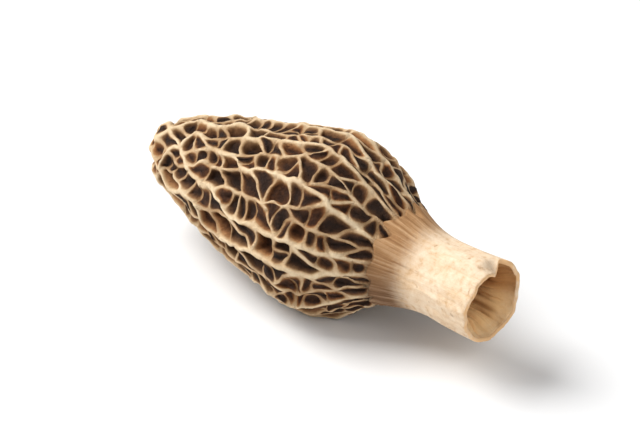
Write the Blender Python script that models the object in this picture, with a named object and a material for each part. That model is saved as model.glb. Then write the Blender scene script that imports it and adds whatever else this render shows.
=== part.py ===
"""One dried morel mushroom, lying on its side as it would on a table.

The cap and the stem of a morel grow as one hollow body, so the model is one
closed skin: a net of ridges round deep pits on the cap, a smooth stem, the cut
rim of the stem, and the hollow that runs up the stem into the cap.

Frame: metres, +Z up. The mushroom lies along X, tip at -X and open stem end at
+X. The origin is the bottom centre of its box, so Z = 0 is what it rests on.
Until it is laid down, the body is built round the X axis, with its tip at X = 0.
"""

import math
import random

import bmesh
import bpy
from mathutils import Vector, noise
from mathutils.geometry import intersect_point_line

# ------------------------------------------------------------ the body
LENGTH = 0.062  # tip of the cap to the rim of the stem
# Outline of the body: (distance from the tip, radius), as shares of LENGTH.
OUTLINE = (
    (0.000, 0.000),
    (0.006, 0.036),
    (0.030, 0.074),
    (0.100, 0.109),
    (0.180, 0.136),
    (0.300, 0.172),
    (0.400, 0.200),
    (0.500, 0.217),
    (0.570, 0.218),
    (0.625, 0.199),
    (0.675, 0.166),
    (0.725, 0.132),
    (0.780, 0.103),
    (0.850, 0.090),
    (0.930, 0.093),
    (1.000, 0.096),
)
CAP_END = 0.77  # share of LENGTH where the ridges have ended and the stem begins
BEND_FROM = 0.65  # share of LENGTH where the stem starts to leave the cap's axis
BEND_TO = 0.84  # share of LENGTH from which it runs straight again
STEM_OFFSET = Vector((0.0, 0.0006, -0.0006))  # how far off the cap's axis it then is
SWELL = 0.035  # how far the body swells and dents, as a share of its radius
SWELL_SIZE = 0.011  # how far apart its swellings are
PRESS = 0.0010  # how far the underside is pressed flat where it lies

# ------------------------------------------------------------ the ridges and pits
# Pits in each row, from the one at the tip to the base: columns merge towards the tip.
PITS_IN_ROW = (1, 6, 10, 13, 16, 19, 21, 22, 23, 23, 23, 23, 23, 24, 27, 31)
COLUMN_SCATTER = 0.14  # sideways scatter of a pit, as a share of its width
COLUMN_WANDER = 1.1  # how far a column of pits wanders sideways, in pit widths
WANDER_PER_ROW = 0.30  # how fast it wanders from row to row
ROW_SCATTER = 0.20  # lengthwise scatter, as a share of a row
ROW_STAGGER = 0.25  # how far neighbouring pits of a row stand apart lengthwise
SHORT_RIDGE = 0.0009  # ridges shorter than this close up, so their ends meet
CREST_REACH = 0.00045  # from a corner of the net to the corner of the pit's mouth
FLOOR_REACH = 0.00090  # from a corner of the net to the corner of the pit's floor
REACH_MOST = 0.60  # the most of the way to the pit's middle line that either may be
MIDDLE_LINE = 0.60  # length of that line, as a share of the pit's spare length
PIT_DEPTH = 0.0024
ROOMY = 0.0013  # a cell whose ridges stand nearer to its middle gets a smaller pit
SHALLOW_FROM = 0.58  # share of LENGTH from which the pits grow shallow
SHALLOW_SHARE = 0.75  # share of their depth that they have lost at the cap's base
TIP_TO, TIP_SHARE = 0.10, 0.5  # they are shallow at the tip as well
SPHERE_END = math.radians(112)  # where the cap's base lies on the sphere of seeds
ON_SPHERE = 0.99999  # points farther out than this are seeds
JUST_INSIDE = 0.99  # how far out the corners of the net are put
SEED = 3

# ------------------------------------------------------------ the stem and the hollow
STEM_RINGS = 7
RIM_WALL = 0.0011  # thickness of the stem's wall at the cut
PIT_FLOOR = 0.0012  # thickness of the cap's wall under a pit
THICKER_FROM = 0.84  # share of LENGTH where the wall starts to thicken into the cap
THICKER_TO = 0.69  # share of LENGTH where it has its thickness in the cap
HOLLOW_END = 0.13  # share of LENGTH where the hollow closes near the tip
HOLLOW_DOME = 0.12  # length of its rounded end, as a share of LENGTH
DOME_END = 0.30  # radius of the dome's last ring, as a share of the hollow's
HOLLOW_RINGS = 15
WAVY_FROM = 0.93  # share of LENGTH from which the cut rim's waves fade in
RIM_WAVE = 0.0005  # unevenness of the cut rim, lengthwise
RIM_WAVES = 2.2  # how quickly it changes round the rim
# A torn place at the top of the rim, its edge curled inwards.
NOTCH_TURN = math.radians(70)
NOTCH_WIDTH = math.radians(13)
NOTCH_FROM = 0.965  # share of LENGTH from which it fades in
NOTCH_DEPTH = 0.0008
NOTCH_CURL = 0.0009


def smooth_step(low, high, value):
    t = min(max((value - low) / (high - low), 0.0), 1.0)
    return t * t * (3 - 2 * t)


def outline_radius(share):
    """Radius at this share of LENGTH, in metres, on a smooth curve through OUTLINE."""
    share = min(max(share, 0.0), 1.0)
    index = max(i for i in range(len(OUTLINE) - 1) if OUTLINE[i][0] <= share)
    (x1, r1), (x2, r2) = OUTLINE[index], OUTLINE[index + 1]
    before = OUTLINE[max(index - 1, 0)]
    after = OUTLINE[min(index + 2, len(OUTLINE) - 1)]
    t = (share - x1) / (x2 - x1)
    slope1 = (r2 - before[1]) / (x2 - before[0]) * (x2 - x1)
    slope2 = (after[1] - r1) / (after[0] - x1) * (x2 - x1)
    return LENGTH * (
        (2 * t**3 - 3 * t**2 + 1) * r1
        + (t**3 - 2 * t**2 + t) * slope1
        + (3 * t**2 - 2 * t**3) * r2
        + (t**3 - t**2) * slope2
    )


def hollow_radius(share):
    """Radius of the hollow: a tube in the stem, deep inside the pits, domed at its end."""
    in_stem = smooth_step(THICKER_TO, THICKER_FROM, share)
    wall = RIM_WALL * in_stem + (PIT_DEPTH + PIT_FLOOR) * (1 - in_stem)
    along_dome = min(1.0, (share - HOLLOW_END) / HOLLOW_DOME)
    dome = math.sqrt(along_dome * (2 - along_dome))
    return (outline_radius(share) - wall) * max(dome, DOME_END)


def turn_of(point):
    return math.atan2(point.z, point.y)


def on_body(share, turn, radius):
    return Vector((share * LENGTH, radius * math.cos(turn), radius * math.sin(turn)))


def on_sphere(polar, turn):
    """A point on the unit sphere of seeds. Its -X pole is the tip of the cap."""
    ring = math.sin(polar)
    return Vector((-math.cos(polar), ring * math.cos(turn), ring * math.sin(turn)))


# ------------------------------------------------------------ the net of ridges
def row_of_seeds(row, count, rng=None):
    """One point on the sphere for each pit of a row, level and unscattered without rng."""
    step = SPHERE_END / len(PITS_IN_ROW)
    points = []
    for column in range(count):
        turn = 2 * math.pi * column / count
        here = Vector((math.cos(turn), math.sin(turn), WANDER_PER_ROW * row))
        across = column + COLUMN_WANDER * noise.noise(here)
        along = row
        if rng:
            across += rng.uniform(-COLUMN_SCATTER, COLUMN_SCATTER)
            along += ROW_STAGGER * (-1) ** column + rng.uniform(-ROW_SCATTER, ROW_SCATTER)
        polar = along * step if row else 0.0
        points.append(on_sphere(polar, 2 * math.pi * across / count))
    return points


def ridge_net(bm, rng):
    """Fills bm with the cap's net: one polygon for each pit, and a plain band at the base.

    The hull of points on a sphere joins each point to its neighbours. Its edges are
    cut at their middles and its triangles at the spot that is equally far from their
    corners. With the points then dissolved, one cell is left round each, and the
    cells' edges run where the ridges stand.
    """
    for row, count in enumerate(PITS_IN_ROW):
        for point in row_of_seeds(row, count, rng):
            bm.verts.new(point)
    base = [bm.verts.new(p) for p in row_of_seeds(len(PITS_IN_ROW), PITS_IN_ROW[-1])]
    bmesh.ops.convex_hull(bm, input=list(bm.verts))
    base_ring = set(base)
    closing = [f for f in bm.faces if base_ring.issuperset(f.verts)]
    bmesh.ops.delete(bm, geom=closing, context="FACES_ONLY")
    loose = [e for e in bm.edges if not e.link_faces]
    bmesh.ops.delete(bm, geom=loose, context="EDGES")

    hull_edges = list(bm.edges)
    bm.normal_update()
    for face in list(bm.faces):
        corner = face.normal * JUST_INSIDE
        if corner.dot(face.calc_center_median()) < 0:
            corner = -corner
        bmesh.ops.poke(bm, faces=[face])["verts"][0].co = corner
    bmesh.ops.subdivide_edges(bm, edges=hull_edges, cuts=1, use_single_edge=True)

    # Only the seeds are on the sphere; corners and middles of ridges lie inside it.
    seeds = [v for v in bm.verts if v.co.length > ON_SPHERE]
    spokes = [e for v in seeds if v.is_boundary for e in v.link_edges if not e.is_boundary]
    bmesh.ops.dissolve_edges(bm, edges=spokes)
    bmesh.ops.dissolve_verts(bm, verts=[v for v in seeds if not v.is_boundary])
    middles = [v for v in bm.verts if len(v.link_edges) == 2 and not v.is_boundary]
    bmesh.ops.dissolve_verts(bm, verts=middles)


def cap_curve(steps=400):
    """The cap's outline as (arc length, share) pairs, from the tip to CAP_END."""
    pairs = [(0.0, 0.0)]
    previous = Vector((0.0, 0.0))
    for step in range(1, steps + 1):
        share = CAP_END * (step / steps) ** 2
        point = Vector((share * LENGTH, outline_radius(share)))
        pairs.append((pairs[-1][0] + (point - previous).length, share))
        previous = point
    return pairs


def share_along(curve, fraction):
    """The share of LENGTH at this fraction of the cap's arc length."""
    wanted = fraction * curve[-1][0]
    for (arc1, share1), (arc2, share2) in zip(curve, curve[1:]):
        if wanted <= arc2:
            return share1 + (share2 - share1) * (wanted - arc1) / (arc2 - arc1)
    return curve[-1][1]


def lay_on_outline(bm):
    """Moves the net from the sphere onto the cap's outline and closes its short ridges."""
    curve = cap_curve()
    for vert in bm.verts:
        polar = math.acos(max(-1.0, min(1.0, -vert.co.normalized().x)))
        share = share_along(curve, min(1.0, polar / SPHERE_END))
        vert.co = on_body(share, turn_of(vert.co), outline_radius(share))
    inner = [v for v in bm.verts if not v.is_boundary]
    bmesh.ops.remove_doubles(bm, verts=inner, dist=SHORT_RIDGE)
    bmesh.ops.recalc_face_normals(bm, faces=list(bm.faces))


def inward(point):
    """The way straight into the body at a point of its outline."""
    share = point.x / LENGTH
    step = 0.01
    rise = outline_radius(share + step) - outline_radius(share - step)
    turn = turn_of(point)
    way = Vector((rise / (2 * step * LENGTH), -math.cos(turn), -math.sin(turn)))
    return way.normalized()


def reach_to_ridges(cell, middle):
    """Distance from the middle of a cell to the nearest of its edges."""
    reaches = []
    for edge in cell.edges:
        start, end = (v.co for v in edge.verts)
        reaches.append((middle - intersect_point_line(middle, start, end)[0]).length)
    return min(reaches)


def points_faced(corners, middle):
    """For each corner of a cell, the point of the cell's middle line that it faces."""
    far = max(corners, key=lambda corner: (corner - middle).length)
    way = (far - middle).normalized()
    near = min((corner - middle).length for corner in corners)
    line = ((far - middle).length - near) * MIDDLE_LINE
    return [
        middle + way * max(-line, min(line, (corner - middle).dot(way)))
        for corner in corners
    ]


def sink_pits(bm):
    """Insets each cell and pushes its floor in, which leaves the ridges standing."""
    cells = [f for f in bm.faces if not any(v.is_boundary for v in f.verts)]
    for cell in cells:
        middle = cell.calc_center_median()
        size = min(1.0, reach_to_ridges(cell, middle) / ROOMY)
        lost = SHALLOW_SHARE * smooth_step(SHALLOW_FROM, CAP_END, middle.x / LENGTH)
        lost += TIP_SHARE * smooth_step(TIP_TO, 0.0, middle.x / LENGTH)
        depth = PIT_DEPTH * size * (1 - lost)
        corners = [v.co.copy() for v in cell.verts]
        faced = points_faced(corners, middle)
        for reach, sunk in ((CREST_REACH, 0.0), (FLOOR_REACH, depth)):
            bmesh.ops.inset_individual(bm, faces=[cell], thickness=0.0)
            for vert, corner, point in zip(cell.verts, corners, faced):
                way = point - corner
                share = min(REACH_MOST * reach / FLOOR_REACH, reach * size / way.length)
                vert.co = corner + way * share + inward(corner) * sunk


# ------------------------------------------------------------ the stem and its hollow
def next_ring(bm, edges, share, radius):
    """Extrudes a loop of edges to a new ring at this share, with this radius."""
    made = bmesh.ops.extrude_edge_only(bm, edges=edges)["geom"]
    for vert in (g for g in made if isinstance(g, bmesh.types.BMVert)):
        vert.co = on_body(share, turn_of(vert.co), radius)
    return [g for g in made if isinstance(g, bmesh.types.BMEdge) and g.is_boundary]


def grow_stem(bm):
    """Carries the skin from the cap's base down the stem, over the rim and back inside."""
    loop = [e for e in bm.edges if e.is_boundary]
    for ring in range(1, STEM_RINGS + 1):
        share = CAP_END + (1 - CAP_END) * ring / STEM_RINGS
        loop = next_ring(bm, loop, share, outline_radius(share))
    for ring in range(HOLLOW_RINGS + 1):
        share = 1 - (1 - HOLLOW_END) * ring / HOLLOW_RINGS
        loop = next_ring(bm, loop, share, hollow_radius(share))
    bmesh.ops.edgeloop_fill(bm, edges=loop)


# ------------------------------------------------------------ growing, drying and lying
def make_uneven(bm):
    """Swells and dents the body gently, and waves and tears the cut rim."""
    swell_place = Vector((3.1, 0.7, 5.3))
    wave_place = 8.1
    for vert in bm.verts:
        swell = noise.noise(vert.co / SWELL_SIZE + swell_place)
        vert.co.yz *= 1 + SWELL * swell
        turn = turn_of(vert.co)
        here = Vector((RIM_WAVES * math.cos(turn), RIM_WAVES * math.sin(turn), wave_place))
        near_rim = smooth_step(WAVY_FROM, 1.0, vert.co.x / LENGTH)
        vert.co.x += near_rim * RIM_WAVE * noise.noise(here)
        torn = math.exp(-(((turn - NOTCH_TURN) / NOTCH_WIDTH) ** 2))
        torn *= smooth_step(NOTCH_FROM, 1.0, vert.co.x / LENGTH)
        vert.co.x -= torn * NOTCH_DEPTH
        vert.co.yz *= 1 - torn * NOTCH_CURL / vert.co.yz.length


def press_underside(bm):
    """Flattens the belly where it lies, and lifts the wall above it with it."""
    lowest = PRESS - max(outline_radius(i / 100) for i in range(101))
    side, under = 0.25, 0.65  # how low on the body the lift begins and is whole
    for vert in bm.verts:
        width = outline_radius(vert.co.x / LENGTH)
        depth = math.sqrt(max(width**2 - vert.co.y**2, 1e-12))
        lift = max(0.0, lowest + depth)
        vert.co.z += lift * smooth_step(side, under, -vert.co.z / depth)
        vert.co.z = max(vert.co.z, lowest)


def bend_stem(bm):
    for vert in bm.verts:
        vert.co += smooth_step(BEND_FROM, BEND_TO, vert.co.x / LENGTH) * STEM_OFFSET


def stand_on_origin(bm):
    """Moves the body so that the bottom centre of its box is the origin."""
    lows = [min(v.co[k] for v in bm.verts) for k in range(3)]
    highs = [max(v.co[k] for v in bm.verts) for k in range(3)]
    centre = Vector(((lows[0] + highs[0]) / 2, (lows[1] + highs[1]) / 2, lows[2]))
    bmesh.ops.translate(bm, verts=list(bm.verts), vec=-centre)


def dried_flesh():
    material = bpy.data.materials.new("dried_flesh")
    material.use_nodes = True
    shader = material.node_tree.nodes["Principled BSDF"]
    shader.inputs["Base Color"].default_value = (0.36, 0.24, 0.14, 1.0)
    shader.inputs["Roughness"].default_value = 0.85
    shader.inputs["Metallic"].default_value = 0.0
    return material


def morel_mesh():
    bm = bmesh.new()
    ridge_net(bm, random.Random(SEED))
    lay_on_outline(bm)
    sink_pits(bm)
    grow_stem(bm)
    make_uneven(bm)
    press_underside(bm)
    bend_stem(bm)
    stand_on_origin(bm)
    bmesh.ops.recalc_face_normals(bm, faces=list(bm.faces))
    mesh = bpy.data.meshes.new("morel_mushroom")
    bm.to_mesh(mesh)
    bm.free()
    mesh.materials.append(dried_flesh())
    mesh.shade_smooth()
    mesh.set_sharp_from_angle(angle=math.radians(35))
    return mesh


def main():
    for old in list(bpy.data.objects):
        bpy.data.objects.remove(old)
    collection = bpy.data.collections.new("morel_mushroom")
    bpy.context.scene.collection.children.link(collection)
    collection.objects.link(bpy.data.objects.new("morel_mushroom", morel_mesh()))


main()
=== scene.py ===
import math
import random

import bmesh
import bpy
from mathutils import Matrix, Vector, noise


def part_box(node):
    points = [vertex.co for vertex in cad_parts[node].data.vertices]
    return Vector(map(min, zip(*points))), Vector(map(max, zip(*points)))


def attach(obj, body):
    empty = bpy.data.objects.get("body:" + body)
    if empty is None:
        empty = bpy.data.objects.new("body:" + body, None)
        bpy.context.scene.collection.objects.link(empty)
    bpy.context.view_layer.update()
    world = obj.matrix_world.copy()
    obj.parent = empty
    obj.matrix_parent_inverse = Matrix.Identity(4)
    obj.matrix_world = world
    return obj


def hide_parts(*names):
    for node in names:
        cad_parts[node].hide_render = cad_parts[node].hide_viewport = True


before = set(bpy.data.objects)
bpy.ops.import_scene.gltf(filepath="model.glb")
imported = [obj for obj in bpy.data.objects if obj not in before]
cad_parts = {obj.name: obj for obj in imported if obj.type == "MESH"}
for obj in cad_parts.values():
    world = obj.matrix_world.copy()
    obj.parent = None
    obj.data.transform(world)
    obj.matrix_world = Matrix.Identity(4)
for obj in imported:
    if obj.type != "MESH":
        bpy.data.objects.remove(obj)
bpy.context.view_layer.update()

low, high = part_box("morel_mushroom")
length = high.x - low.x  # tip of the cap to the rim of the stem

# ---------------------------------------------------------------- the body's outline
# A morel's cap and stem grow as one hollow body of spongy flesh, turned in outline:
# a blunt cone that swells to a shoulder and draws in to the stem. It is built round
# the X axis, tip first, and laid down when it is whole.

outline = (  # (distance from the tip, radius), as shares of the length
    (0.000, 0.000),
    (0.006, 0.036),
    (0.030, 0.074),
    (0.100, 0.109),
    (0.180, 0.136),
    (0.300, 0.172),
    (0.400, 0.200),
    (0.500, 0.217),
    (0.570, 0.218),
    (0.625, 0.199),
    (0.675, 0.166),
    (0.725, 0.132),
    (0.780, 0.103),
    (0.850, 0.090),
    (0.930, 0.093),
    (1.000, 0.096),
)
cap_end = 0.77  # share of the length where the cap's skin has run into the stem's


def smooth_step(start, end, value):
    t = min(max((value - start) / (end - start), 0.0), 1.0)
    return t * t * (3 - 2 * t)


def mix(a, b, share):
    return a + (b - a) * share


def outline_radius(share):
    """Radius at this share of the length, in metres, on a smooth curve through outline."""
    share = min(max(share, 0.0), 1.0)
    index = max(i for i in range(len(outline) - 1) if outline[i][0] <= share)
    (x1, r1), (x2, r2) = outline[index], outline[index + 1]
    before = outline[max(index - 1, 0)]
    after = outline[min(index + 2, len(outline) - 1)]
    t = (share - x1) / (x2 - x1)
    slope1 = (r2 - before[1]) / (x2 - before[0]) * (x2 - x1)
    slope2 = (after[1] - r1) / (after[0] - x1) * (x2 - x1)
    return length * (
        (2 * t**3 - 3 * t**2 + 1) * r1
        + (t**3 - 2 * t**2 + t) * slope1
        + (3 * t**2 - 2 * t**3) * r2
        + (t**3 - t**2) * slope2
    )


def turn_of(point):
    return math.atan2(point.z, point.y)


def on_body(share, turn, radius):
    return Vector((share * length, radius * math.cos(turn), radius * math.sin(turn)))


def to_outline(point):
    """The point of the outline that lies straight above or below a point."""
    share = point.x / length
    return on_body(share, turn_of(point), outline_radius(share))


def inward(point):
    """The way straight into the body at a point of its outline."""
    share = point.x / length
    step = 0.01
    rise = outline_radius(share + step) - outline_radius(share - step)
    turn = turn_of(point)
    way = Vector((rise / (2 * step * length), -math.cos(turn), -math.sin(turn)))
    return way.normalized()


body = bmesh.new()
# How pale the flesh is painted, with painted shade in it: darker in pits and on lower ridges
# partly as shade, and low in the hollow's creases as shade.
paleness_and_shade = body.verts.layers.float.new("paleness_and_shade")  # 1 on a ridge's crest, 0 on a pit's floor
tone = body.verts.layers.float.new("tone")  # how pale the pit is that a point lies in
near_base = body.verts.layers.float.new("near_base")  # 1 where the cap runs into the stem
down_stem = body.verts.layers.float.new("down_stem")  # 0 at the cap, 1 at the cut rim
in_hollow = body.verts.layers.float.new("in_hollow")  # 0 at the rim, 1 at its far end
grown = body.verts.layers.float_vector.new("grown")  # place along and round the straight body
drop = body.verts.layers.float.new("drop")  # how much lower than the outline a ridge is
half = body.verts.layers.float.new("half")  # half of a ridge's thickness
strip = body.verts.layers.int.new("strip")  # the two main ridges that a pit lies between
main = body.edges.layers.int.new("main")  # 1 on a main ridge

# ---------------------------------------------------------------- the cap's net of ridges
# The cap is covered by thin upright ridges of pale flesh, grown out of its wall. The
# main ones run from the tip to the base, wavering, and lower ones cross between them,
# so that together they stand round some three hundred pits.

pits_in_row = (1, 6, 10, 13, 16, 19, 21, 22, 23, 23, 23, 23, 23, 23, 23, 23)
column_scatter = 0.14  # sideways scatter of a pit, as a share of its width
column_wander = 1.1  # how far a column of pits wanders sideways, in pit widths
wander_per_row = 0.30  # how fast it wanders from row to row
row_scatter = 0.20  # lengthwise scatter, as a share of a row
row_stagger = 0.25  # how far neighbouring pits of a row stand apart lengthwise
tip_offset = 0.2  # how far the pit at the tip lies off the axis, in rows
short_ridge = 0.0007  # ridges shorter than this close up, so their ends meet
main_ridges = 13  # how many run from the tip to the base
sphere_end = math.radians(112)  # where the cap's base lies on the sphere of seeds
on_the_sphere = 0.99999  # points farther out than this are seeds
just_inside = 0.99  # how far out the corners of the net are put
seeded = random.Random(3)
noise.seed_set(6)  # fixes what noise_vector gives


def on_sphere(polar, turn):
    """A point on the unit sphere of seeds. Its -X pole is the tip of the cap."""
    ring = math.sin(polar)
    return Vector((-math.cos(polar), ring * math.cos(turn), ring * math.sin(turn)))


# One seed for each pit, in columns that run from the tip to the base, and a last row
# in line with them for the stem's skin.
row_step = sphere_end / len(pits_in_row)
base = []
for row, count in enumerate((*pits_in_row, pits_in_row[-1])):
    at_base = row == len(pits_in_row)
    for column in range(count):
        turn = 2 * math.pi * column / count
        here = Vector((math.cos(turn), math.sin(turn), wander_per_row * row))
        across = column + column_wander * noise.noise(here)
        along = row
        if not at_base:
            across += seeded.uniform(-column_scatter, column_scatter)
            along += row_stagger * (-1) ** column + seeded.uniform(-row_scatter, row_scatter)
        polar = (along if row else tip_offset) * row_step
        seed = body.verts.new(on_sphere(polar, 2 * math.pi * across / count))
        seed[strip] = int(main_ridges * (column + 0.5) / count)
        if at_base:
            base.append(seed)

# The hull of the seeds joins each to its neighbours. Cut at its edges' middles and its
# triangles' centres, with the seeds dissolved, it leaves one cell round each seed.
bmesh.ops.convex_hull(body, input=list(body.verts))
base_ring = set(base)
closing = [f for f in body.faces if base_ring.issuperset(f.verts)]
bmesh.ops.delete(body, geom=closing, context="FACES_ONLY")
loose = [e for e in body.edges if not e.link_faces]
bmesh.ops.delete(body, geom=loose, context="EDGES")
hull_edges = list(body.edges)
body.normal_update()
for face in list(body.faces):
    corner = face.normal * just_inside
    if corner.dot(face.calc_center_median()) < 0:
        corner = -corner
    bmesh.ops.poke(body, faces=[face])["verts"][0].co = corner
bmesh.ops.subdivide_edges(body, edges=hull_edges, cuts=1, use_single_edge=True)
seeds = {v: v.is_boundary for v in body.verts if v.co.length > on_the_sphere}

# Between cells of different strips runs a main ridge.
for vert in body.verts:
    near = [v for v in (e.other_vert(vert) for e in vert.link_edges) if v in seeds]
    if len(near) == 2 and vert not in seeds and near[0][strip] != near[1][strip]:
        for edge in vert.link_edges:
            edge[main] = edge.other_vert(vert) not in seeds
spokes = [e for e in body.edges if not e.is_boundary and any(seeds.get(v) for v in e.verts)]
bmesh.ops.dissolve_edges(body, edges=spokes)
bmesh.ops.dissolve_verts(body, verts=[v for v, at_edge in seeds.items() if not at_edge])
middles = [v for v in body.verts if len(v.link_edges) == 2 and not v.is_boundary]
bmesh.ops.dissolve_verts(body, verts=middles)

# The net is laid on the cap's outline by arc length, and its short ridges close up.
curve = [(0.0, 0.0)]
last = Vector((0.0, 0.0))
curve_steps = 400
for step in range(1, curve_steps + 1):
    share = cap_end * (step / curve_steps) ** 2
    point = Vector((share * length, outline_radius(share)))
    curve.append((curve[-1][0] + (point - last).length, share))
    last = point


def share_along(fraction):
    """The share of the length at this fraction of the cap's arc length."""
    wanted = fraction * curve[-1][0]
    for (arc1, share1), (arc2, share2) in zip(curve, curve[1:]):
        if wanted <= arc2:
            return mix(share1, share2, (wanted - arc1) / (arc2 - arc1))
    return curve[-1][1]


for vert in body.verts:
    polar = math.acos(max(-1.0, min(1.0, -vert.co.normalized().x)))
    share = share_along(min(1.0, polar / sphere_end))
    vert.co = on_body(share, turn_of(vert.co), outline_radius(share))
inner = [v for v in body.verts if not v.is_boundary]
bmesh.ops.remove_doubles(body, verts=inner, dist=short_ridge)
bmesh.ops.recalc_face_normals(body, faces=list(body.faces))

# The band between the net and the base ring is the stem's, which starts at the net.
band = [f for f in body.faces if any(v.is_boundary for v in f.verts)]
bmesh.ops.delete(body, geom=band, context="FACES")

# ---------------------------------------------------------------- the ridges' lines
# Each side of a cell becomes a wavering line. Lengthwise ridges stand full height and
# thick; cross ridges sag between them and are thinner.

line_step = 0.00048
main_half = 0.00068  # half the thickness of a main ridge at its crest
side_half = 0.00034  # and of a lesser lengthwise one
cross_half = 0.00027  # and of a cross ridge
side_drop = 0.00045  # how much lower than a main ridge a lesser lengthwise one is
cross_drop = 0.00080  # and a cross ridge, halfway
drop_spread = (0.6, 1.3)  # how far these drops differ from ridge to ridge
cross_slope, length_slope = 0.35, 0.85  # along the axis: up to this crosses, from this runs on
sag_curve = 0.7  # below 1, a ridge sags soon after its ends


def draw_ridge(edge, middle_drop, middle_half):
    """Cuts an edge into short pieces, and sags and thins it towards its middle."""
    start, end = (v.co.copy() for v in edge.verts)
    start_drop, end_drop = (v[drop] for v in edge.verts)
    start_half, end_half = (v[half] for v in edge.verts)
    span = (end - start).length
    cuts = max(1, round(span / line_step) - 1)
    made = bmesh.ops.subdivide_edges(body, edges=[edge], cuts=cuts)["geom_inner"]
    for vert in (g for g in made if isinstance(g, bmesh.types.BMVert)):
        way = (vert.co - start).length / span
        bow = math.sin(math.pi * way) ** sag_curve
        vert[drop] = mix(mix(start_drop, end_drop, way), middle_drop, bow)
        vert[half] = mix(mix(start_half, end_half, way), middle_half, bow)


ridges = []
for edge in body.edges:
    start, end = (v.co for v in edge.verts)
    slope = abs((end - start).normalized().x)
    lengthwise = smooth_step(cross_slope, length_slope, slope)
    sag = mix(cross_drop, side_drop, lengthwise) * seeded.uniform(*drop_spread)
    thick = mix(cross_half, side_half, lengthwise)
    ridges.append((edge, 0.0 if edge[main] else sag, main_half if edge[main] else thick))
for vert in body.verts:
    meeting = [r for r in ridges if vert in r[0].verts]
    vert[drop] = min(r[1] for r in meeting)
    vert[half] = max(r[2] for r in meeting)
for edge, sag, thick in ridges:
    draw_ridge(edge, sag, thick)

# Where ridges meet, the two that run on most nearly straight are one flowing line.
flowing = 10  # how often the lines are softened


def line_through(vert):
    """The neighbours before and behind a point, on the straightest line through it."""
    on_edge = vert.is_boundary
    near = [e.other_vert(vert) for e in vert.link_edges if e.is_boundary or not on_edge]
    on_main = [e.other_vert(vert) for e in vert.link_edges if e[main]]
    if len(on_main) == 2 and not on_edge:
        return on_main
    ways = [(n, (n.co - vert.co).normalized()) for n in near]
    pairs = [(a, b) for i, a in enumerate(ways) for b in ways[:i]]
    (a, way_a), (b, way_b) = min(pairs, key=lambda pair: pair[0][1].dot(pair[1][1]))
    return a, b


through = {v: line_through(v) for v in body.verts}
for _ in range(flowing):
    softened = {v: v.co / 2 + (a.co + b.co) / 4 for v, (a, b) in through.items()}
    for vert, place in softened.items():
        vert.co = place
for vert in body.verts:
    vert.co = to_outline(vert.co)

# Some of the larger pits are parted by a low, thin rib on their floor.
parted_share = 0.45
parted_from = 8e-6  # only pits with more floor than this
rib_drop = 0.0009
rib_spread = (0.7, 1.2)
rib_half = 0.00020
for cell in [f for f in body.faces if f.calc_area() > parted_from]:
    if seeded.random() > parted_share:
        continue
    verts = list(cell.verts)
    across = len(verts) // 2
    facing = [(verts[i], verts[(i + across) % len(verts)]) for i in range(across)]
    a, b = min(facing, key=lambda pair: (pair[0].co - pair[1].co).length)
    bmesh.utils.face_split(cell, a, b)
    rib = next(e for e in a.link_edges if e.other_vert(a) is b)
    draw_ridge(rib, rib_drop * seeded.uniform(*rib_spread), rib_half)
for vert in body.verts:
    vert.co = to_outline(vert.co)

# The lines waver sideways by these sizes, reaches and places of noise, and the ridges
# are uneven in height and thickness.
waver = ((0.0045, 0.00065, 11.0), (0.0021, 0.00058, 23.0), (0.0009, 0.00020, 29.0))
uneven_size, uneven_reach = 0.0017, 0.00036  # how the crests rise and fall
swollen_size, swollen_share = 0.0013, 0.65  # how they thicken and thin
for vert in body.verts:
    way_in = inward(vert.co)
    moved = Vector()
    for size, reach, place in waver:
        moved += noise.noise_vector(vert.co / size + Vector((place, 0, 0))) * reach
    vert[drop] += uneven_reach * (1 + noise.noise(vert.co / uneven_size))
    vert[half] *= 1 + swollen_share * noise.noise(vert.co / swollen_size)
    if vert.is_boundary:
        vert.co.x += moved.x
    else:
        vert.co += moved - way_in * moved.dot(way_in)

# ---------------------------------------------------------------- the pits
# Between the ridges the flesh sinks to a rounded floor. A ridge's wall falls steeply
# from its rounded crest and runs out in the floor, and the flesh darkens on its way,
# partly in its own colour and partly as painted shade.

pit_depth = 0.0027
depth_spread = (0.85, 1.1)
roomy = 0.0013  # a pit whose walls stand nearer to its middle is shallower
shallow_from = 0.58  # share of the length from which the pits grow shallow
shallow_share = 0.75  # share of their depth that they have lost at the cap's base
tip_to, tip_share = 0.12, 0.65  # they are shallow at the tip as well
# A pit's rings: (way inwards, share of the depth, share of the crest's paleness; its
# fall is partly the flesh's own colour and partly painted shade). On the wall the way
# is in halves of a ridge, on the floor from the wall to the middle.
wall_rings = (
    (0.42, 0.015, 0.98),
    (0.76, 0.085, 0.82),
    (0.98, 0.26, 0.50),
    (1.15, 0.58, 0.30),
    (1.42, 0.86, 0.15),
)
floor_rings = ((0.30, 0.95, 0.05), (0.66, 1.0, 0.0))
wall_most = 0.62  # the wall's foot is at most this far to the middle
middle_line = 0.6  # how far a long pit's middle line reaches towards its ends


def spine_target(points):
    """For each point of a pit's rim, the point of the pit's middle line it faces."""
    middle = sum(points, Vector()) / len(points)
    far = max(points, key=lambda p: (p - middle).length)
    way = (far - middle).normalized()
    reach = (far - middle).length
    side = min((p - middle).length for p in points)
    stretch = max(0.0, reach - side) * middle_line
    offsets = [max(-stretch, min(stretch, (p - middle).dot(way))) for p in points]
    return [middle + way * offset for offset in offsets]


def rounded(points, times):
    """Softens a closed line of points."""
    for _ in range(times):
        points = [
            (points[i - 1] + points[i] * 2 + points[(i + 1) % len(points)]) / 4
            for i in range(len(points))
        ]
    return points


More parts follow.
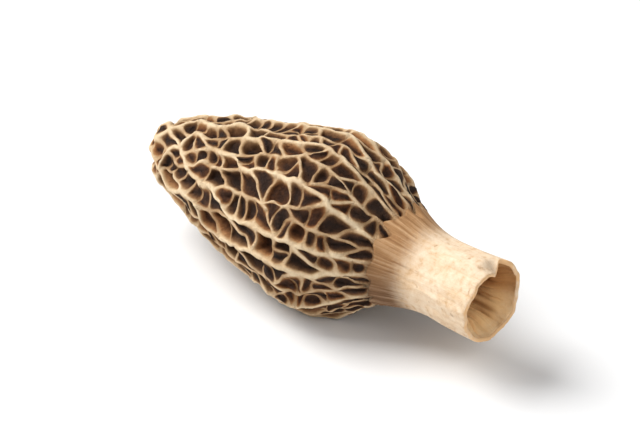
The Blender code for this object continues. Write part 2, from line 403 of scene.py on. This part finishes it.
cells = list(body.faces)
plans = []
for cell in cells:
    rim = [v.co.copy() for v in cell.verts]
    targets = spine_target(rim)
    room = min((t - p).length for t, p in zip(targets, rim))
    size = min(1.0, room / roomy)
    middle = sum(rim, Vector()) / len(rim)
    lost = shallow_share * smooth_step(shallow_from, cap_end, middle.x / length)
    lost += tip_share * smooth_step(tip_to, 0.0, middle.x / length)
    depth = pit_depth * size * (1 - lost) * seeded.uniform(*depth_spread)
    plans.append({
        "rim": rim,
        "targets": targets,
        "drops": [v[drop] for v in cell.verts],
        "halves": [v[half] for v in cell.verts],
        "depth": depth,
        "tone": seeded.random(),
    })

# Painted shade: a ridge lower than the main ones is painted darker.
low_from, low_to = 0.0002, 0.0013  # a ridge this much lower than the main ones darkens
low_crest_shaded = 0.62  # and has this much of their paleness left
base_drop = 0.0004  # the ridges are no lower than this at the cap's base
bumps = ((0.0016, 0.00034, 31.0), (0.0006, 0.00015, 47.0))  # size, reach, place


def shaded_crest_paleness(rise):
    return 1.0 - (1.0 - low_crest_shaded) * smooth_step(low_from, low_to, rise)


base_loop = [v for v in body.verts if v.is_boundary]
for vert in body.verts:
    vert[paleness_and_shade] = shaded_crest_paleness(vert[drop])
for vert in base_loop:
    vert[paleness_and_shade] = 1.0
    vert[drop] = min(vert[drop], base_drop)
for vert in body.verts:
    vert.co += inward(vert.co) * vert[drop]

# The wall and floor rings darken the flesh, partly in its own colour and partly as painted shade.
for number, (way, depth_share, pit_paleness_and_shade) in enumerate(wall_rings + floor_rings):
    bmesh.ops.inset_individual(body, faces=cells, thickness=0.0)
    for cell, plan in zip(cells, plans):
        places = []
        for rim, target, rise, thick in zip(
            plan["rim"], plan["targets"], plan["drops"], plan["halves"]
        ):
            span = (target - rim).length
            foot = min(wall_rings[-1][0] * thick, wall_most * span)
            if number < len(wall_rings):
                reach = foot * way / wall_rings[-1][0]
            else:
                reach = mix(foot, span, way)
            place = rim + (target - rim) * (reach / span)
            sunk = mix(rise, max(plan["depth"], rise), depth_share)
            places.append(place + inward(rim) * sunk)
        places = rounded(places, number)
        for vert, place, rise in zip(cell.verts, places, plan["drops"]):
            for size, reach, noise_place in bumps:
                bump = noise.noise_vector(place / size + Vector((noise_place, 0, 0)))
                place = place + bump * reach * depth_share
            vert.co = place
            vert[paleness_and_shade] = pit_paleness_and_shade * shaded_crest_paleness(rise)
            vert[tone] = plan["tone"]
bmesh.ops.poke(body, faces=cells)

velvet_from, velvet_to = 0.065, 0.012  # shares of the length from the cap's end
for vert in body.verts:
    vert[near_base] = smooth_step(velvet_from, velvet_to, cap_end - vert.co.x / length)
for vert in base_loop:
    vert[near_base] = 1.0

# ---------------------------------------------------------------- the stem
# The stem grows out of the cap's lower edge, flares out of it, narrows and widens
# again to the cut. Its wall is a millimetre thick and dried in fine lengthwise folds.

stem_rings = 36
flare_rings = 9  # rings over which the cap's uneven edge becomes an even ring
flare_length = 0.02  # as a share of the length
rim_wall = 0.0007
stem_wall = 0.0011
folds = ((3.4, 0.00024, 9.0), (9.0, 0.00009, 20.0))  # how often round, reach, how often along
fold_place = 5.0
folds_whole = 0.4  # share of the stem over which its folds grow
stem_skin, lining = 1, 2  # the numbers of their materials


def next_ring(edges, skin, place):
    """Extrudes a loop of edges, and puts each new point where place(point) says."""
    made = bmesh.ops.extrude_edge_only(body, edges=edges)["geom"]
    verts = [g for g in made if isinstance(g, bmesh.types.BMVert)]
    for vert in verts:
        vert.co = place(vert.co)
        vert[paleness_and_shade] = 1.0
        vert[near_base] = 0.0
    for face in (g for g in made if isinstance(g, bmesh.types.BMFace)):
        face.material_index = skin
    return [g for g in made if isinstance(g, bmesh.types.BMEdge) and g.is_boundary], verts


def folded(share, turn, radius, amount):
    """A point of the stem's skin, with its lengthwise folds."""
    for often, reach, along in folds:
        here = Vector((often * math.cos(turn), often * math.sin(turn), fold_place + along * share))
        radius += amount * reach * noise.noise(here)
    return on_body(share, turn, radius)


def flared(point, ring):
    """A point's place on the next ring of the flare, which evens out the cap's edge."""
    share = mix(point.x / length, cap_end + flare_length, 1 / (flare_rings - ring + 1))
    uneven = point.yz.length - outline_radius(point.x / length)
    radius = outline_radius(share) + uneven * (1 - ring / flare_rings)
    return on_body(share, turn_of(point), radius)


loop = [e for e in body.edges if e.is_boundary]
for ring in range(1, flare_rings + 1):
    loop, verts = next_ring(loop, stem_skin, lambda p: flared(p, ring))
    for vert in verts:
        vert[down_stem] = flare_length / (1 - cap_end) * ring / flare_rings
for ring in range(1, stem_rings + 1):
    share = mix(cap_end + flare_length, 1.0, ring / stem_rings)
    amount = smooth_step(0.0, folds_whole, ring / stem_rings)
    loop, verts = next_ring(
        loop, stem_skin, lambda p: folded(share, turn_of(p), outline_radius(share), amount)
    )
    for vert in verts:
        vert[down_stem] = (share - cap_end) / (1 - cap_end)

# ---------------------------------------------------------------- the rim and the hollow
# The stem was cut through and left open. Behind the rim is the hollow, which runs up
# the stem and widens in the cap under the pits.

hollow_rings = 40
pit_floor = 0.0012  # thickness of the cap's wall under a pit
thin_from = 0.93  # share of the length where the wall starts to thin towards the cut
thicker_from = 0.84  # share of the length where the wall starts to thicken
thicker_to = 0.69  # share of the length where it has its thickness in the cap
hollow_end = 0.13  # share of the length where the hollow closes
hollow_dome = 0.12  # length of its rounded end
dome_end = 0.14  # radius of the dome's last ring, as a share of the hollow's
wrinkles = ((1.9, 0.0027, 2.0), (5.5, 0.0010, 4.0))  # how often round, reach, how often along
wrinkles_whole = 0.06  # share of the hollow's depth over which they grow
calm_from, calm_to, calm_share = 0.10, 0.28, 0.4  # they are lower deep in the hollow
crease_wide, crease_narrow = 0.30, 1.2  # how high on a fold a crease's shade ends
deeper_apart = 1.5  # above 1, the rings lie closer at the rim


def hollow_radius(share):
    in_stem = smooth_step(thicker_to, thicker_from, share)
    near_rim = smooth_step(thin_from, 1.0, share)
    wall = mix(pit_depth + pit_floor, mix(stem_wall, rim_wall, near_rim), in_stem)
    along_dome = min(1.0, (share - hollow_end) / hollow_dome)
    dome = math.sqrt(along_dome * (2 - along_dome))
    return (outline_radius(share) - wall) * max(dome, dome_end)


def folds_at(share, turn):
    """How far each set of the lining's folds stands out here, 0 in its creases."""
    places = [
        Vector((often * math.cos(turn), often * math.sin(turn), along * share))
        for often, _, along in wrinkles
    ]
    return [abs(noise.noise(place)) for place in places]


def wrinkled(share, turn, amount):
    """A point of the hollow's lining, with its lengthwise wrinkles."""
    radius = hollow_radius(share)
    for (_, reach, _), out in zip(wrinkles, folds_at(share, turn)):
        radius -= amount * reach * out
    return on_body(share, turn, radius)


rim_rings = 4
rim_round = 0.35  # how far the cut's rounded edge stands out, in walls
for ring in range(1, rim_rings + 1):
    angle, last_angle = math.pi * ring / rim_rings, math.pi * (ring - 1) / rim_rings
    over = 1.0 + rim_round * rim_wall * math.sin(angle) / length
    inside = rim_wall / 2 * (math.cos(last_angle) - math.cos(angle))
    loop, verts = next_ring(
        loop, stem_skin, lambda p: on_body(over, turn_of(p), p.yz.length - inside)
    )
    for vert in verts:
        vert[down_stem] = 1.0 + ring / rim_rings
for ring in range(1, hollow_rings + 1):
    deep = (ring / hollow_rings) ** deeper_apart
    share = mix(1.0, hollow_end, deep)
    calm = mix(1.0, calm_share, smooth_step(calm_from, calm_to, deep))
    amount = smooth_step(0.0, wrinkles_whole, deep) * calm
    loop, verts = next_ring(loop, lining, lambda p: wrinkled(share, turn_of(p), amount))
    for vert in verts:
        vert[down_stem] = 2.0
        vert[in_hollow] = deep
        # The folds' creases are kept for painted shade in the lining's colour.
        wide, narrow = folds_at(share, turn_of(vert.co))
        clear = min(1.0, wide / crease_wide + narrow / crease_narrow)
        vert[paleness_and_shade] = 1 - amount * (1 - clear)
closing = bmesh.ops.edgeloop_fill(body, edges=loop)["faces"]
poked = bmesh.ops.poke(body, faces=closing)
poked["verts"][0][in_hollow] = 1.0
for face in poked["faces"]:
    face.material_index = lining

# ---------------------------------------------------------------- drying and lying down
# The body swelled unevenly as it grew and shrank as it dried. It lies on its belly,
# which is pressed a little flat, and its stem has come off the cap's axis.

swell = 0.035
swell_size = 0.011
swell_place = Vector((3.1, 0.7, 5.3))
# The cut is not straight: (how often round it, how deep, share of the length it starts at)
cut_waves = ((2.2, 0.0004, 0.93), (1.6, 0.00050, 0.985), (5.0, 0.00014, 0.985))
wave_place = 34.95
# The rim is torn at the top: a tongue of it curls into the hollow, and beside it the
# edge is broken back. (turn, half width before it and past it, way back, way in)
tears = ((80, 8, 22, 0.0, 0.0015), (66, 7, 7, 0.0007, 0.0))
torn_from = 0.962
press = 0.0010
side, under = 0.25, 0.65  # how low on the body the pressing begins and is whole
bend_from, bend_to = 0.65, 0.84
stem_offset = Vector((0.0, 0.0006, -0.0006))

for vert in body.verts:
    turn = turn_of(vert.co)
    vert[grown] = (vert.co.x / length, math.cos(turn), math.sin(turn))
    vert.co.yz *= 1 + swell * noise.noise(vert.co / swell_size + swell_place)
    for often, reach, start in cut_waves:
        here = Vector((often * math.cos(turn), often * math.sin(turn), wave_place))
        at_cut = smooth_step(start, 1.0, vert.co.x / length)
        vert.co.x += at_cut * reach * noise.noise(here)
    at_cut = smooth_step(torn_from, 1.0, vert.co.x / length) ** 2
    for tear_turn, before, past, back, curl in tears:
        off = math.degrees(turn) - tear_turn
        torn = at_cut * math.exp(-((off / (past if off > 0 else before)) ** 2))
        vert.co.x -= torn * back
        vert.co.yz *= 1 - torn * curl / vert.co.yz.length
lowest = press - max(outline_radius(i / 100) for i in range(101))
least = 1e-12  # keeps the depth above zero at the body's sides
for vert in body.verts:
    width = outline_radius(vert.co.x / length)
    depth = math.sqrt(max(width**2 - vert.co.y**2, least))
    lift = max(0.0, lowest + depth)
    vert.co.z += lift * smooth_step(side, under, -vert.co.z / depth)
    vert.co.z = max(vert.co.z, lowest)
    vert.co += smooth_step(bend_from, bend_to, vert.co.x / length) * stem_offset

lows = Vector(min(v.co[k] for v in body.verts) for k in range(3))
highs = Vector(max(v.co[k] for v in body.verts) for k in range(3))
shift = (low + high) / 2 - (lows + highs) / 2
shift.z = low.z - lows.z
bmesh.ops.translate(body, verts=list(body.verts), vec=shift)
bmesh.ops.recalc_face_normals(body, faces=list(body.faces))

for face in body.faces:
    face.smooth = True
for layer in (drop, half):
    body.verts.layers.float.remove(layer)
body.verts.layers.int.remove(strip)
body.edges.layers.int.remove(main)
mesh = bpy.data.meshes.new("morel")
body.to_mesh(mesh)
body.free()
morel = bpy.data.objects.new("morel", mesh)
bpy.context.scene.collection.objects.link(morel)
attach(morel, "root")
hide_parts("morel_mushroom")

# ---------------------------------------------------------------- the flesh's finish
# Dry flesh is matt and finely mealy. The same grain and the same lengthwise streaks
# run over the cap, the stem and the lining of the hollow.

dull = 0.25  # its specular level


def paint(red, green, blue):
    """A colour whose channels are given from 0 to 255, as paint charts list them."""
    return tuple(
        c / 255 / 12.92 if c <= 10 else ((c / 255 + 0.055) / 1.055) ** 2.4
        for c in (red, green, blue)
    ) + (1.0,)


def put(tree, kind, inputs=None, **settings):
    """Adds a node, sets it, and fills its inputs with values or other nodes' outputs."""
    node = tree.nodes.new(kind)
    for name, value in settings.items():
        setattr(node, name, value)
    for key, value in (inputs or {}).items():
        if isinstance(value, bpy.types.NodeSocket):
            tree.links.new(value, node.inputs[key])
        else:
            node.inputs[key].default_value = value
    return node


def maths(tree, operation, a, b=0.0, clamp=False):
    node = put(tree, "ShaderNodeMath", {0: a, 1: b}, operation=operation, use_clamp=clamp)
    return node.outputs["Value"]


def fade(tree, value, start, end):
    """0 where the value is at start, 1 where it is at end, soft between."""
    node = put(
        tree,
        "ShaderNodeMapRange",
        {"Value": value, "From Min": start, "From Max": end},
        interpolation_type="SMOOTHSTEP",
    )
    return node.outputs["Result"]


def ramp(tree, value, stops):
    node = put(tree, "ShaderNodeValToRGB", {"Fac": value})
    elements = node.color_ramp.elements
    while len(elements) < len(stops):
        elements.new(0.5)
    for element, (position, colour) in zip(elements, stops):
        element.position = position
        element.color = colour
    return node.outputs["Color"]


def blend(tree, share, first, second, how="MIX"):
    node = put(
        tree,
        "ShaderNodeMix",
        {"Factor": share, "A": first, "B": second},
        data_type="RGBA",
        blend_type=how,
    )
    return node.outputs[2]  # the colour; the others are for numbers and vectors


def attribute(tree, name):
    return put(tree, "ShaderNodeAttribute", attribute_name=name).outputs["Fac"]


def new_group(name, inputs, outputs):
    tree = bpy.data.node_groups.new(name, "ShaderNodeTree")
    for title, kind in inputs:
        tree.interface.new_socket(title, in_out="INPUT", socket_type=kind)
    for title, kind in outputs:
        tree.interface.new_socket(title, in_out="OUTPUT", socket_type=kind)
    return tree, tree.nodes.new("NodeGroupInput"), tree.nodes.new("NodeGroupOutput")


# Mealy grain: soft mottling, and a fine height for the bump.
grain_group, given, made = new_group(
    "mealy_grain",
    [("Size", "NodeSocketFloat")],
    [("Mottle", "NodeSocketFloat"), ("Height", "NodeSocketFloat")],
)
place = put(grain_group, "ShaderNodeTexCoord").outputs["Object"]
fineness = maths(grain_group, "DIVIDE", 1.0, given.outputs["Size"])
mottle = put(
    grain_group, "ShaderNodeTexNoise",
    {"Vector": place, "Scale": fineness, "Detail": 5.0, "Roughness": 0.62},
).outputs["Fac"]
finer = maths(grain_group, "MULTIPLY", fineness, 3.5)
meal = put(
    grain_group, "ShaderNodeTexNoise",
    {"Vector": place, "Scale": finer, "Detail": 3.0, "Roughness": 0.6},
).outputs["Fac"]
height = maths(grain_group, "ADD", mottle, maths(grain_group, "MULTIPLY", meal, 0.6))
grain_group.links.new(mottle, made.inputs["Mottle"])
grain_group.links.new(height, made.inputs["Height"])

# Lengthwise streaks, which run along the stem.
streak_group, given, made = new_group(
    "lengthwise_streaks",
    [("Around", "NodeSocketFloat"), ("Along", "NodeSocketFloat")],
    [("Streak", "NodeSocketFloat")],
)
place = put(streak_group, "ShaderNodeAttribute", attribute_name="grown").outputs["Vector"]
around, along = given.outputs["Around"], given.outputs["Along"]
scale = put(streak_group, "ShaderNodeCombineXYZ", {"X": along, "Y": around, "Z": around})
stretched = put(
    streak_group, "ShaderNodeVectorMath", {0: place, 1: scale.outputs["Vector"]},
    operation="MULTIPLY",
).outputs["Vector"]
streak = put(
    streak_group, "ShaderNodeTexNoise",
    {"Vector": stretched, "Scale": 1.0, "Detail": 4.0, "Roughness": 0.6},
).outputs["Fac"]
streak_group.links.new(streak, made.inputs["Streak"])

# The velvety brown skin where the cap runs into the stem. It frays out in streaks, and
# is darker on the underside, partly in its own colour and partly as painted shade.
velvet_group, given, made = new_group(
    "velvet_skin",
    [("Amount", "NodeSocketFloat"), ("Streak", "NodeSocketFloat"), ("Over", "NodeSocketColor")],
    [("Color", "NodeSocketColor")],
)
amount, streak = given.outputs["Amount"], given.outputs["Streak"]
fray = maths(velvet_group, "SUBTRACT", 0.5, streak)
fray = maths(velvet_group, "MULTIPLY", fray, 0.8)
edge = maths(velvet_group, "MULTIPLY", fray, fade(velvet_group, amount, 0.0, 0.35))
held = maths(velvet_group, "ADD", amount, edge, clamp=True)
velvet = ramp(velvet_group, streak, [
    (0.30, paint(146, 105, 68)),
    (0.50, paint(174, 131, 88)),
    (0.70, paint(196, 153, 108)),
])
place = put(velvet_group, "ShaderNodeAttribute", attribute_name="grown").outputs["Vector"]
height = put(velvet_group, "ShaderNodeSeparateXYZ", {"Vector": place}).outputs["Z"]
frayed = maths(velvet_group, "ADD", height, maths(velvet_group, "MULTIPLY", fray, 0.6))
# Painted shade, partly the velvet's own colour: darker on the underside.
painted_underside_shade = fade(velvet_group, frayed, 1.0, -0.35)
velvet = blend(velvet_group, painted_underside_shade, velvet, (0.44, 0.41, 0.42, 1.0), "MULTIPLY")
over = blend(velvet_group, held, given.outputs["Over"], velvet)
velvet_group.links.new(over, made.inputs["Color"])


def new_finish(name):
    material = bpy.data.materials.new(name)
    material.use_nodes = True
    mesh.materials.append(material)
    return material.node_tree, material.node_tree.nodes["Principled BSDF"]


def finish_bump(tree, shader, height, depth):
    bump = put(tree, "ShaderNodeBump", {"Height": height, "Strength": 1.0, "Distance": depth})
    tree.links.new(bump.outputs["Normal"], shader.inputs["Normal"])


# The cap's flesh: pale crests, brown walls and dark floors. The walls' and floors'
# darkness is partly the flesh's own colour and partly painted shade.
tree, shader = new_finish("cap_flesh")
shader.inputs["Specular IOR Level"].default_value = dull
grain = put(tree, "ShaderNodeGroup", {"Size": 0.0008}, node_tree=grain_group).outputs
patches = put(tree, "ShaderNodeGroup", {"Size": 0.008}, node_tree=grain_group).outputs
streak = put(
    tree, "ShaderNodeGroup", {"Around": 15.0, "Along": 9.0}, node_tree=streak_group
).outputs["Streak"]
mottle = maths(tree, "SUBTRACT", grain["Mottle"], 0.5)
level = maths(tree, "ADD", attribute(tree, "paleness_and_shade"), maths(tree, "MULTIPLY", mottle, 0.35))
flesh = ramp(tree, level, [
    (0.00, paint(43, 25, 13)),
    (0.14, paint(78, 51, 31)),
    (0.38, paint(130, 96, 65)),
    (0.62, paint(182, 146, 106)),
    (0.84, paint(222, 192, 153)),
    (1.00, paint(246, 223, 187)),
])
worn = fade(tree, patches["Mottle"], 0.35, 0.68)
flesh = blend(tree, worn, flesh, (0.90, 0.85, 0.79, 1.0), "MULTIPLY")
pit_tint = ramp(tree, attribute(tree, "tone"), [
    (0.0, (0.72, 0.68, 0.62, 1.0)),
    (0.5, (0.98, 0.93, 0.87, 1.0)),
    (1.0, (1.70, 1.42, 1.12, 1.0)),
])
in_pit = fade(tree, attribute(tree, "paleness_and_shade"), 0.75, 0.25)
flesh = blend(tree, in_pit, flesh, pit_tint, "MULTIPLY")
on_crest = fade(tree, attribute(tree, "paleness_and_shade"), 0.2, 0.6)
amount = maths(tree, "MULTIPLY", attribute(tree, "near_base"), on_crest)
velvet = put(
    tree, "ShaderNodeGroup", {"Amount": amount, "Streak": streak, "Over": flesh},
    node_tree=velvet_group,
).outputs["Color"]
tree.links.new(velvet, shader.inputs["Base Color"])
roughness = maths(tree, "ADD", 0.72, maths(tree, "MULTIPLY", grain["Mottle"], 0.2))
tree.links.new(roughness, shader.inputs["Roughness"])
finish_bump(tree, shader, grain["Height"], 0.00055)

# The stem's skin: cream and mealy, faintly streaked and flecked with brown.
tree, shader = new_finish("stem_skin")
shader.inputs["Specular IOR Level"].default_value = dull
shader.inputs["Roughness"].default_value = 0.8
grain = put(tree, "ShaderNodeGroup", {"Size": 0.0009}, node_tree=grain_group).outputs
patches = put(tree, "ShaderNodeGroup", {"Size": 0.004}, node_tree=grain_group).outputs
streak = put(
    tree, "ShaderNodeGroup", {"Around": 15.0, "Along": 9.0}, node_tree=streak_group
).outputs["Streak"]
skin = ramp(tree, grain["Mottle"], [
    (0.30, paint(212, 178, 140)),
    (0.46, paint(229, 203, 172)),
    (0.70, paint(238, 218, 192)),
])
blotched = fade(tree, patches["Mottle"], 0.42, 0.72)
skin = blend(tree, blotched, skin, (0.94, 0.86, 0.75, 1.0), "MULTIPLY")
lined = maths(tree, "MULTIPLY", fade(tree, streak, 0.52, 0.72), 0.35)
skin = blend(tree, lined, skin, paint(204, 166, 124))
fleck = put(
    tree, "ShaderNodeTexNoise",
    {"Vector": put(tree, "ShaderNodeTexCoord").outputs["Object"], "Scale": 900.0, "Detail": 2.0},
).outputs["Fac"]
flecked = maths(tree, "MULTIPLY", fade(tree, fleck, 0.66, 0.76), 0.5)
skin = blend(tree, flecked, skin, paint(160, 116, 74))
at_rim = fade(tree, attribute(tree, "down_stem"), 0.93, 1.2)
at_rim = maths(tree, "MULTIPLY", at_rim, fade(tree, patches["Mottle"], 0.30, 0.52))
skin = blend(tree, at_rim, skin, paint(228, 184, 134))
amount = fade(tree, attribute(tree, "down_stem"), 0.34, 0.02)
velvet = put(
    tree, "ShaderNodeGroup", {"Amount": amount, "Streak": streak, "Over": skin},
    node_tree=velvet_group,
).outputs["Color"]
tree.links.new(velvet, shader.inputs["Base Color"])
height = maths(tree, "ADD", grain["Height"], maths(tree, "MULTIPLY", streak, -1.2))
finish_bump(tree, shader, height, 0.00012)

# The hollow's lining: tan and wrinkled lengthwise. Painted shade darkens it as it goes
# in, on its upper side and in its creases.
tree, shader = new_finish("hollow_lining")
shader.inputs["Specular IOR Level"].default_value = dull
shader.inputs["Roughness"].default_value = 0.85
grain = put(tree, "ShaderNodeGroup", {"Size": 0.0010}, node_tree=grain_group).outputs
streak = put(
    tree, "ShaderNodeGroup", {"Around": 7.0, "Along": 5.0}, node_tree=streak_group
).outputs["Streak"]
mottle = maths(tree, "MULTIPLY", maths(tree, "SUBTRACT", grain["Mottle"], 0.5), 0.06)
# Painted shade: the lining darkens from the rim towards the hollow's far end.
lining_colour_and_shade = ramp(tree, maths(tree, "ADD", attribute(tree, "in_hollow"), mottle), [
    (0.00, paint(250, 216, 168)),
    (0.03, paint(246, 204, 146)),
    (0.12, paint(240, 190, 128)),
    (0.35, paint(174, 114, 58)),
    (1.00, paint(116, 72, 38)),
])
# Painted shade: the lining is darker on its upper side, paler low down.
place = put(tree, "ShaderNodeAttribute", attribute_name="grown").outputs["Vector"]
height = put(tree, "ShaderNodeSeparateXYZ", {"Vector": place}).outputs["Z"]
lining_colour_and_shade = blend(
    tree, fade(tree, height, -0.80, 0.05), lining_colour_and_shade, (0.45, 0.31, 0.20, 1.0), "MULTIPLY"
)
# Painted shade in the creases of the lining's folds.
painted_crease_shade = fade(tree, attribute(tree, "paleness_and_shade"), 0.75, 0.10)
lining_colour_and_shade = blend(tree, painted_crease_shade, lining_colour_and_shade, (0.52, 0.42, 0.34, 1.0), "MULTIPLY")
streaked = maths(tree, "MULTIPLY", fade(tree, streak, 0.5, 0.66), 0.25)
lining_colour_and_shade = blend(tree, streaked, lining_colour_and_shade, (0.70, 0.58, 0.46, 1.0), "MULTIPLY")
tree.links.new(lining_colour_and_shade, shader.inputs["Base Color"])
height = maths(tree, "ADD", grain["Height"], maths(tree, "MULTIPLY", streak, -2.0))
finish_bump(tree, shader, height, 0.00018)

# ---------------------------------------------------------------- floor, light, camera
# A plain white table under soft studio light: a large key lamp on the tip's side, a
# weak fill on the stem's, and an even white surround.

bpy.ops.mesh.primitive_plane_add(size=4)
floor = bpy.context.object
floor.name = "floor"
white = bpy.data.materials.new("floor_white")
white.use_nodes = True
white.node_tree.nodes["Principled BSDF"].inputs["Base Color"].default_value = (0.9, 0.9, 0.9, 1)
floor.data.materials.append(white)

world = bpy.data.worlds.new("studio")
bpy.context.scene.world = world
world.use_nodes = True
world.node_tree.nodes["Background"].inputs["Color"].default_value = (1, 1, 1, 1)
world.node_tree.nodes["Background"].inputs["Strength"].default_value = 0.34

middle = (low + high) / 2


def aim(thing, azimuth, elevation, distance):
    a, e = math.radians(azimuth), math.radians(elevation)
    back = Vector((math.sin(a) * math.cos(e), -math.cos(a) * math.cos(e), math.sin(e)))
    thing.location = middle + back * distance
    thing.rotation_mode = "QUATERNION"
    thing.rotation_quaternion = (-back).to_track_quat("-Z", "Y")


lamp_distance = 1.2
# (name, size, energy, azimuth, elevation)
lamps = (("key", 0.85, 20.0, -68, 48), ("fill", 0.6, 4.0, 72, 40))
for name, size, energy, azimuth, elevation in lamps:
    lamp = bpy.data.objects.new(name, bpy.data.lights.new(name, "AREA"))
    lamp.data.size = size
    lamp.data.energy = energy
    bpy.context.scene.collection.objects.link(lamp)
    aim(lamp, azimuth, elevation, lamp_distance)

camera = bpy.data.objects.new("camera", bpy.data.cameras.new("camera"))
camera.data.lens = 200
bpy.context.scene.collection.objects.link(camera)
aim(camera, 41.5, 33, 0.50)
bpy.context.scene.camera = camera
bpy.context.scene.view_settings.view_transform = "Standard"
